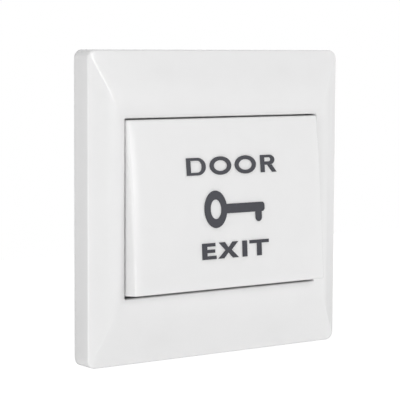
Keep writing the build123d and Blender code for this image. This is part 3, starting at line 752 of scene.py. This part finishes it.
def coil(centre_x, centre_z, back, front, radius, wire, turns):
    """A compression spring along Y with closed, ground ends.

    The wire's middle line is radius * (cos t, sin t) at a level whose rate of climb is that of
    touching turns at both ends and one and the same larger rate between them. Its section is a
    circle about that line, cut off flat at both ends of the spring."""
    steps_a_turn, wire_steps, closed_turns, easing_turns = 40, 12, 0.6, 0.5
    steps = int(turns * steps_a_turn)
    t = np.linspace(0, 2 * math.pi * turns, steps)
    from_end = np.minimum(t, t[-1] - t) / (2 * math.pi)
    rise = np.clip((from_end - closed_turns) / easing_turns, 0.0, 1.0)
    rise = rise * rise * (3 - 2 * rise)
    span = front - back - wire
    tight = wire * turns * (1 - np.mean(rise))
    climb = wire / (2 * math.pi) * (1 - rise) + (span - tight) / np.sum(rise * t[1]) * rise
    level = np.concatenate([[0.0], np.cumsum((climb[1:] + climb[:-1]) / 2 * t[1])])
    level = wire / 2 + level * span / level[-1]
    middle = np.stack([radius * np.cos(t), radius * np.sin(t), level], axis=1)
    outward = np.stack([np.cos(t), np.sin(t), np.zeros(steps)], axis=1)
    forward = np.gradient(middle, axis=0)
    forward /= np.linalg.norm(forward, axis=1, keepdims=True)
    sideways = np.cross(forward, outward)
    b = np.linspace(0, 2 * math.pi, wire_steps, endpoint=False)[None, :, None]
    section = np.cos(b) * outward[:, None] + np.sin(b) * sideways[:, None]
    rows = middle[:, None] + wire / 2 * section
    rows[..., 2] = np.clip(rows[..., 2], 0.0, front - back)
    return shell(rows, FRONT, (centre_x, -back, centre_z))


def node_material(name, colour_value, roughness, metallic=0.0):
    """A new material with its colour, roughness and metal share set on the shader itself."""
    material = bpy.data.materials.new(name + FINISH_END)
    material.use_nodes = True
    shader = material.node_tree.nodes["Principled BSDF"]
    shader.inputs["Base Color"].default_value = (*colour_value, 1.0)
    shader.inputs["Roughness"].default_value = roughness
    shader.inputs["Metallic"].default_value = metallic
    return material, shader


def noise(material, grains, detail, stretch=(1.0, 1.0, 1.0)):
    """Noise in object coordinates, with the given number of grains to the metre."""
    nodes, links = material.node_tree.nodes, material.node_tree.links
    place = nodes.new("ShaderNodeTexCoord")
    mapping = nodes.new("ShaderNodeMapping")
    mapping.inputs["Scale"].default_value = stretch
    texture = nodes.new("ShaderNodeTexNoise")
    texture.inputs["Scale"].default_value = grains
    texture.inputs["Detail"].default_value = detail
    links.new(place.outputs["Object"], mapping.inputs["Vector"])
    links.new(mapping.outputs["Vector"], texture.inputs["Vector"])
    return texture.outputs["Fac"]


def roughened(material, shader, value, low, high):
    """Roughness that a noise value spreads between two limits."""
    nodes, links = material.node_tree.nodes, material.node_tree.links
    node = nodes.new("ShaderNodeMapRange")
    node.inputs["From Min"].default_value = NOISE_LOW
    node.inputs["From Max"].default_value = NOISE_HIGH
    node.inputs["To Min"].default_value = low
    node.inputs["To Max"].default_value = high
    links.new(value, node.inputs["Value"])
    links.new(node.outputs["Result"], shader.inputs["Roughness"])


def bumped(material, shader, height, distance, below=None):
    """Bump of the given height in metres, over another bump where one is given."""
    node = material.node_tree.nodes.new("ShaderNodeBump")
    node.inputs["Distance"].default_value = distance
    node.inputs["Strength"].default_value = 1.0
    material.node_tree.links.new(height, node.inputs["Height"])
    if below is not None:
        material.node_tree.links.new(below, node.inputs["Normal"])
    material.node_tree.links.new(node.outputs["Normal"], shader.inputs["Normal"])
    return node.outputs["Normal"]


def tinted(material, shader, value, colour_value, spread):
    """Colour that varies a little with a noise value, as moulded or plated stock does."""
    nodes, links = material.node_tree.nodes, material.node_tree.links
    ramp = nodes.new("ShaderNodeValToRGB")
    dark = [channel * (1 - spread) for channel in colour_value]
    light = [min(channel * (1 + spread), 1.0) for channel in colour_value]
    ramp.color_ramp.elements[0].position = NOISE_LOW
    ramp.color_ramp.elements[0].color = (*dark, 1.0)
    ramp.color_ramp.elements[1].position = NOISE_HIGH
    ramp.color_ramp.elements[1].color = (*light, 1.0)
    links.new(value, ramp.inputs["Fac"])
    links.new(ramp.outputs["Color"], shader.inputs["Base Color"])


def gloss_plastic(name, colour_value):
    """Glossy moulded ABS that light enters a little: the tool's polish leaves a faint wave under
    a very fine skin."""
    roughness, spread = 0.24, 0.03
    material, shader = node_material(name, colour_value, roughness)
    shader.inputs["IOR"].default_value = 1.52
    shader.inputs["Subsurface Weight"].default_value = 1.0
    shader.inputs["Subsurface Radius"].default_value = (1.0, 1.0, 1.0)
    shader.inputs["Subsurface Scale"].default_value = 1.5 * MM
    tint = noise(material, grains=120.0, detail=2.0)
    tinted(material, shader, tint, colour_value, spread=0.006)
    shine = noise(material, grains=700.0, detail=3.0)
    roughened(material, shader, shine, roughness - spread, roughness + spread)
    wave = noise(material, grains=160.0, detail=1.0)
    waved = bumped(material, shader, wave, distance=0.006 * MM)
    skin = noise(material, grains=2600.0, detail=2.0)
    bumped(material, shader, skin, distance=0.0012 * MM, below=waved)


def satin_plastic(name, colour_value, roughness):
    """Satin moulded plastic: the even fine grain of a spark-eroded tool."""
    material, shader = node_material(name, colour_value, roughness)
    shader.inputs["IOR"].default_value = 1.5
    spread = 0.06
    tint = noise(material, grains=200.0, detail=3.0)
    tinted(material, shader, tint, colour_value, spread=0.02)
    shine = noise(material, grains=1500.0, detail=2.0)
    roughened(material, shader, shine, roughness - spread, roughness + spread)
    skin = noise(material, grains=6500.0, detail=3.0)
    bumped(material, shader, skin, distance=0.01 * MM)


def brushed_metal(name, colour_value, roughness, stretch):
    """Rolled, drawn or plated metal: fine lines along its grain and uneven shine."""
    smoother, rougher = 0.08, 0.1
    material, shader = node_material(name, colour_value, roughness, metallic=1.0)
    lines = noise(material, grains=2400.0, detail=4.0, stretch=stretch)
    tint = noise(material, grains=300.0, detail=2.0)
    tinted(material, shader, tint, colour_value, spread=0.05)
    roughened(material, shader, lines, roughness - smoother, roughness + rougher)
    bumped(material, shader, lines, distance=0.003 * MM)


def printed_ink(name, colour_value):
    """Pad-printed ink: nearly even, with a slightly broken shine."""
    roughness, smoother, rougher = 0.42, 0.06, 0.08
    material, shader = node_material(name, colour_value, roughness)
    tint = noise(material, grains=900.0, detail=4.0)
    tinted(material, shader, tint, colour_value, spread=0.06)
    shine = noise(material, grains=3000.0, detail=2.0)
    roughened(material, shader, shine, roughness - smoother, roughness + rougher)
    skin = noise(material, grains=4200.0, detail=2.0)
    bumped(material, shader, skin, distance=0.002 * MM)


def finish(name):
    """A finish that has been made before, by its name."""
    return bpy.data.materials[name + FINISH_END]


def softened(node, material, width):
    """A copy of a solid with its points merged, its flat faces joined and its edges rounded."""
    mesh = frame["nodes"][node].data.copy()
    mesh.name = node + "_soft"
    work = bpy.data.objects.new(node + "_soft", mesh)
    bpy.context.scene.collection.objects.link(work)
    body = next(b for b, nodes in frame["record"]["behaviour"]["bodies"].items() if node in nodes)
    edit = bmesh.new()
    edit.from_mesh(mesh)
    bmesh.ops.remove_doubles(edit, verts=edit.verts, dist=SAME_POINT)
    bmesh.ops.dissolve_limit(edit, angle_limit=SAME_FACE, verts=edit.verts, edges=edit.edges)
    edit.to_mesh(mesh)
    edit.free()
    smooth(mesh, SHARP)
    bevel = work.modifiers.new("edges", "BEVEL")
    bevel.width = width
    bevel.segments = 2
    bevel.limit_method = "ANGLE"
    bevel.angle_limit = SHARP
    bevel.use_clamp_overlap = True
    mesh.materials.clear()
    mesh.materials.append(material)
    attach(work, body)
    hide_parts(node)
    return work


def dress(node, material):
    """Gives a solid of the frame its finish."""
    slots = frame["nodes"][node].data.materials
    slots.clear()
    slots.append(material)


class EXITBUTTON_OT_finishes(Operator):
    """Make the finishes of all pieces"""

    bl_idname = "exit_button.finishes"
    bl_label = "Finishes"

    def execute(self, context):
        colours = context.scene.exit_button_colours
        gloss_plastic("white_gloss_abs", colours.gloss)
        satin_plastic("base_white_abs", colours.base, roughness=0.5)
        satin_plastic("housing_plastic", colours.housing, roughness=0.56)
        satin_plastic("plunger_nylon", colours.nylon, roughness=0.44)
        printed_ink("print_ink", colours.ink)
        along_strip, along_wire, even = (1.0, 1.0, 0.06), (0.4, 1.0, 0.4), (1.0, 1.0, 1.0)
        brushed_metal("contact_brass", colours.brass, roughness=0.3, stretch=along_strip)
        brushed_metal("contact_silver", colours.silver, roughness=0.26, stretch=even)
        brushed_metal("plated_steel", colours.zinc, roughness=0.34, stretch=even)
        brushed_metal("spring_steel", colours.spring, roughness=0.28, stretch=along_wire)
        return {"FINISHED"}


class EXITBUTTON_OT_cover(Operator):
    """Build the cover plate with its snap hooks"""

    bl_idname = "exit_button.cover"
    bl_label = "Cover plate"

    def execute(self, context):
        sizes = context.scene.exit_button_cover
        hooks = [cover_hook(sizes, x, side)
                 for x in (-sizes.hook_spacing / 2, sizes.hook_spacing / 2) for side in (-1, 1)]
        cover = piece("cover_plate", [cover_shell(sizes), *hooks], finish("white_gloss_abs"),
                      "base")
        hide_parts("front_frame")
        return {"FINISHED"}


class EXITBUTTON_OT_key(Operator):
    """Build the press key with its ribs, hinge stubs, post and stop hooks"""

    bl_idname = "exit_button.key"
    bl_label = "Press key"

    def execute(self, context):
        sizes = context.scene.exit_button_key
        flush = [crowned(key_shell(sizes), sizes), *key_ribs(sizes), *mirrored(key_stub(sizes))]
        shapes = [swung(shape, -sizes.tilt) for shape in flush]
        shapes += [key_post(sizes), *mirrored(key_stop(sizes))]
        key = piece("press_key", shapes, finish("white_gloss_abs"), "button")
        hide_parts("rocker_button")
        return {"FINISHED"}


class EXITBUTTON_OT_print(Operator):
    """Build the printed words and the key sign on the face"""

    bl_idname = "exit_button.print"
    bl_label = "Print"

    def execute(self, context):
        key = context.scene.exit_button_key
        sizes = context.scene.exit_button_print
        levels = [key.face_out - sizes.ink, key.face_out + sizes.ink]
        upper = upper_word(sizes.upper_word / MM, sizes.upper_cap / MM, levels)
        sign = key_sign(sizes.bow_x / MM, sizes.bow_z / MM, sizes.shank_end / MM, levels)
        lower = lower_word(sizes.lower_word / MM, sizes.lower_cap / MM, levels)
        for name, shapes in (("print_door", upper), ("print_key", sign), ("print_exit", lower)):
            raised = [placed(shape, sizes.across, sizes.raised) for shape in shapes]
            curved = [swung(crowned(shape, key), -key.tilt) for shape in raised]
            piece(name, curved, finish("print_ink"), "button")
        return {"FINISHED"}


class EXITBUTTON_OT_base(Operator):
    """Finish the base plate and the contact housing behind it"""

    bl_idname = "exit_button.base"
    bl_label = "Base and housing"

    def execute(self, context):
        edge = context.scene.exit_button_edges.moulded
        base = softened("mounting_plate", finish("base_white_abs"), edge)
        housing = softened("contact_housing", finish("housing_plastic"), edge)
        return {"FINISHED"}


class EXITBUTTON_OT_springs(Operator):
    """Build the two coil springs"""

    bl_idname = "exit_button.springs"
    bl_label = "Springs"

    def execute(self, context):
        sizes = context.scene.exit_button_springs
        stroke = next(j for j in frame["joints"] if j["name"] == "plunger_slide")["range_m"][1]
        self.spring("plunger_spring", "return_spring", sizes.return_radius, sizes.return_wire,
                    sizes.return_turns, "plunger_slide", stroke)
        self.spring("contact_spring", "lever_spring", sizes.lever_radius, sizes.lever_wire,
                    sizes.lever_turns, "contact_swing", sizes.lever_share * stroke)
        return {"FINISHED"}

    def spring(self, name, node, radius, wire, turns, joint, shortening):
        """One spring between the ends of the solid that it replaces."""
        low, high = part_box(node)
        centre_x, centre_z = (low.x + high.x) / 2, (low.z + high.z) / 2
        made = piece(name, [coil(centre_x, centre_z, -high.y, -low.y, radius, wire, turns)],
                     finish("spring_steel"), "base", SHARP_ON_WIRE)
        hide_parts(node)
        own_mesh(made)


class EXITBUTTON_OT_contacts(Operator):
    """Finish the plunger, lever, terminals, contacts and screws"""

    bl_idname = "exit_button.contacts"
    bl_label = "Contacts and screws"

    def execute(self, context):
        edges = context.scene.exit_button_edges
        brass, zinc = finish("contact_brass"), finish("plated_steel")
        for name in ("com", "no", "nc"):
            softened(name + "_terminal", brass, edges.strip)
            softened(name + "_clamp_plate", zinc, edges.clamp_plate)
        softened("contact_lever", brass, edges.lever)
        softened("terminal_screws", zinc, edges.terminal_screw)
        softened("housing_screws", zinc, edges.housing_screw)
        dress("plunger", finish("plunger_nylon"))
        dress("lever_pivot_pin", finish("spring_steel"))
        for node in ("lever_contact", "no_contact", "nc_contact"):
            dress(node, finish("contact_silver"))
        return {"FINISHED"}


class EXITBUTTON_OT_stage(Operator):
    """Set the camera, the floor, the white surroundings and the lamps"""

    bl_idname = "exit_button.stage"
    bl_label = "Stage"

    def execute(self, context):
        stage = context.scene.exit_button_stage
        self.camera(context, stage)
        self.floor(context, stage)
        self.surroundings(context, stage)
        for name, azimuth, elevation, side, power in LAMPS:
            self.lamp(context, name, azimuth, elevation, side, power, stage.lamp_distance)
        context.scene.view_settings.view_transform = "Standard"
        return {"FINISHED"}

    def camera(self, context, stage):
        """A camera whose axes come from its yaw, pitch and roll."""
        yaw, pitch, roll = stage.yaw, stage.pitch, stage.roll
        forward = np.array([math.sin(yaw) * math.cos(pitch), math.cos(yaw) * math.cos(pitch),
                            -math.sin(pitch)])
        level = np.array([math.cos(yaw), -math.sin(yaw), 0.0])
        upright = np.cross(level, forward)
        right = math.cos(roll) * level + math.sin(roll) * upright
        up = math.cos(roll) * upright - math.sin(roll) * level
        data = bpy.data.cameras.new("camera")
        data.lens = stage.lens
        data.sensor_width = stage.sensor
        camera = bpy.data.objects.new("camera", data)
        context.scene.collection.objects.link(camera)
        place = (stage.camera_x, stage.camera_y, stage.camera_z)
        rows = [[right[i], up[i], -forward[i], place[i]] for i in range(3)]
        camera.matrix_world = Matrix(rows + [[0.0, 0.0, 0.0, 1.0]])
        context.scene.camera = camera

    def floor(self, context, stage):
        """A wide pale floor that the camera sees as white where nothing shades it."""
        half, z = stage.floor_side / 2, -stage.floor_drop
        mesh = bpy.data.meshes.new("floor")
        mesh.from_pydata([(-half, -half, z), (half, -half, z), (half, half, z), (-half, half, z)],
                         [], [(0, 1, 2, 3)])
        floor = bpy.data.objects.new("floor", mesh)
        context.scene.collection.objects.link(floor)
        material, shader = node_material("floor", [stage.floor_tone] * 3, roughness=0.9)
        nodes, links = material.node_tree.nodes, material.node_tree.links
        rays = nodes.new("ShaderNodeLightPath")
        links.new(rays.outputs["Is Camera Ray"], shader.inputs["Emission Strength"])
        shader.inputs["Emission Color"].default_value = [stage.floor_glow] * 3 + [1.0]
        mesh.materials.append(material)

    def surroundings(self, context, stage):
        """White for the camera and for reflections, and an even weaker light for the rest."""
        world = bpy.data.worlds.new("surroundings")
        world.use_nodes = True
        nodes, links = world.node_tree.nodes, world.node_tree.links
        background = nodes["Background"]
        background.inputs["Color"].default_value = (1.0, 1.0, 1.0, 1.0)
        rays = nodes.new("ShaderNodeLightPath")
        seen = nodes.new("ShaderNodeMath")
        seen.operation = "MAXIMUM"
        also = nodes.new("ShaderNodeMath")
        also.operation = "MAXIMUM"
        strength = nodes.new("ShaderNodeMapRange")
        strength.inputs["To Min"].default_value = stage.ambient
        strength.inputs["To Max"].default_value = 1.0
        links.new(rays.outputs["Is Camera Ray"], seen.inputs[0])
        links.new(rays.outputs["Is Glossy Ray"], seen.inputs[1])
        links.new(seen.outputs["Value"], also.inputs[0])
        links.new(rays.outputs["Is Transmission Ray"], also.inputs[1])
        links.new(also.outputs["Value"], strength.inputs["Value"])
        links.new(strength.outputs["Result"], background.inputs["Strength"])
        context.scene.world = world

    def lamp(self, context, name, azimuth, elevation, side, power, distance):
        """A square lamp that points at the object from an azimuth and a height angle."""
        data = bpy.data.lights.new(name, "AREA")
        data.size = side
        data.energy = power
        lamp = bpy.data.objects.new(name, data)
        context.scene.collection.objects.link(lamp)
        a, e = math.radians(azimuth), math.radians(elevation)
        back = Matrix.Rotation(a, 4, "Z") @ Matrix.Rotation(math.pi / 2 - e, 4, "X")
        lamp.matrix_world = back @ Matrix.Translation((0.0, 0.0, distance))


class EXITBUTTON_PT_panel(Panel):
    """Sidebar panel with the sizes and the steps"""

    bl_label = "Door Exit Button"
    bl_idname = "EXITBUTTON_PT_panel"
    bl_space_type = "VIEW_3D"
    bl_region_type = "UI"
    bl_category = "Exit Button"

    def draw(self, context):
        layout = self.layout
        for group in GROUPS:
            box = layout.box()
            settings = getattr(context.scene, group)
            for setting in settings.bl_rna.properties.keys():
                if setting not in {"rna_type", "name"}:
                    box.prop(settings, setting)
        for operator in OPERATORS:
            layout.operator(operator.bl_idname)


GROUPS = {
    "exit_button_cover": CoverSizes,
    "exit_button_key": KeySizes,
    "exit_button_print": PrintSizes,
    "exit_button_springs": SpringSizes,
    "exit_button_edges": EdgeSizes,
    "exit_button_colours": FinishColours,
    "exit_button_stage": StageSettings,
}

OPERATORS = (
    EXITBUTTON_OT_finishes,
    EXITBUTTON_OT_cover,
    EXITBUTTON_OT_key,
    EXITBUTTON_OT_print,
    EXITBUTTON_OT_base,
    EXITBUTTON_OT_springs,
    EXITBUTTON_OT_contacts,
    EXITBUTTON_OT_stage,
)


def register():
    """Registers the settings, the operators and the panel."""
    for name, group in GROUPS.items():
        bpy.utils.register_class(group)
        setattr(bpy.types.Scene, name, PointerProperty(type=group))
    for made in (*OPERATORS, EXITBUTTON_PT_panel):
        bpy.utils.register_class(made)


def unregister():
    """Takes them away again."""
    for made in (EXITBUTTON_PT_panel, *reversed(OPERATORS)):
        bpy.utils.unregister_class(made)
    for name, group in GROUPS.items():
        delattr(bpy.types.Scene, name)
        bpy.utils.unregister_class(group)


def main():
    """Builds everything in order."""
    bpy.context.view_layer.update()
    register()
    bpy.ops.exit_button.finishes()
    bpy.ops.exit_button.cover()
    bpy.ops.exit_button.key()
    bpy.ops.exit_button.print()
    bpy.ops.exit_button.base()
    bpy.ops.exit_button.springs()
    bpy.ops.exit_button.contacts()
    bpy.ops.exit_button.stage()


if __name__ == "__main__":
    main()
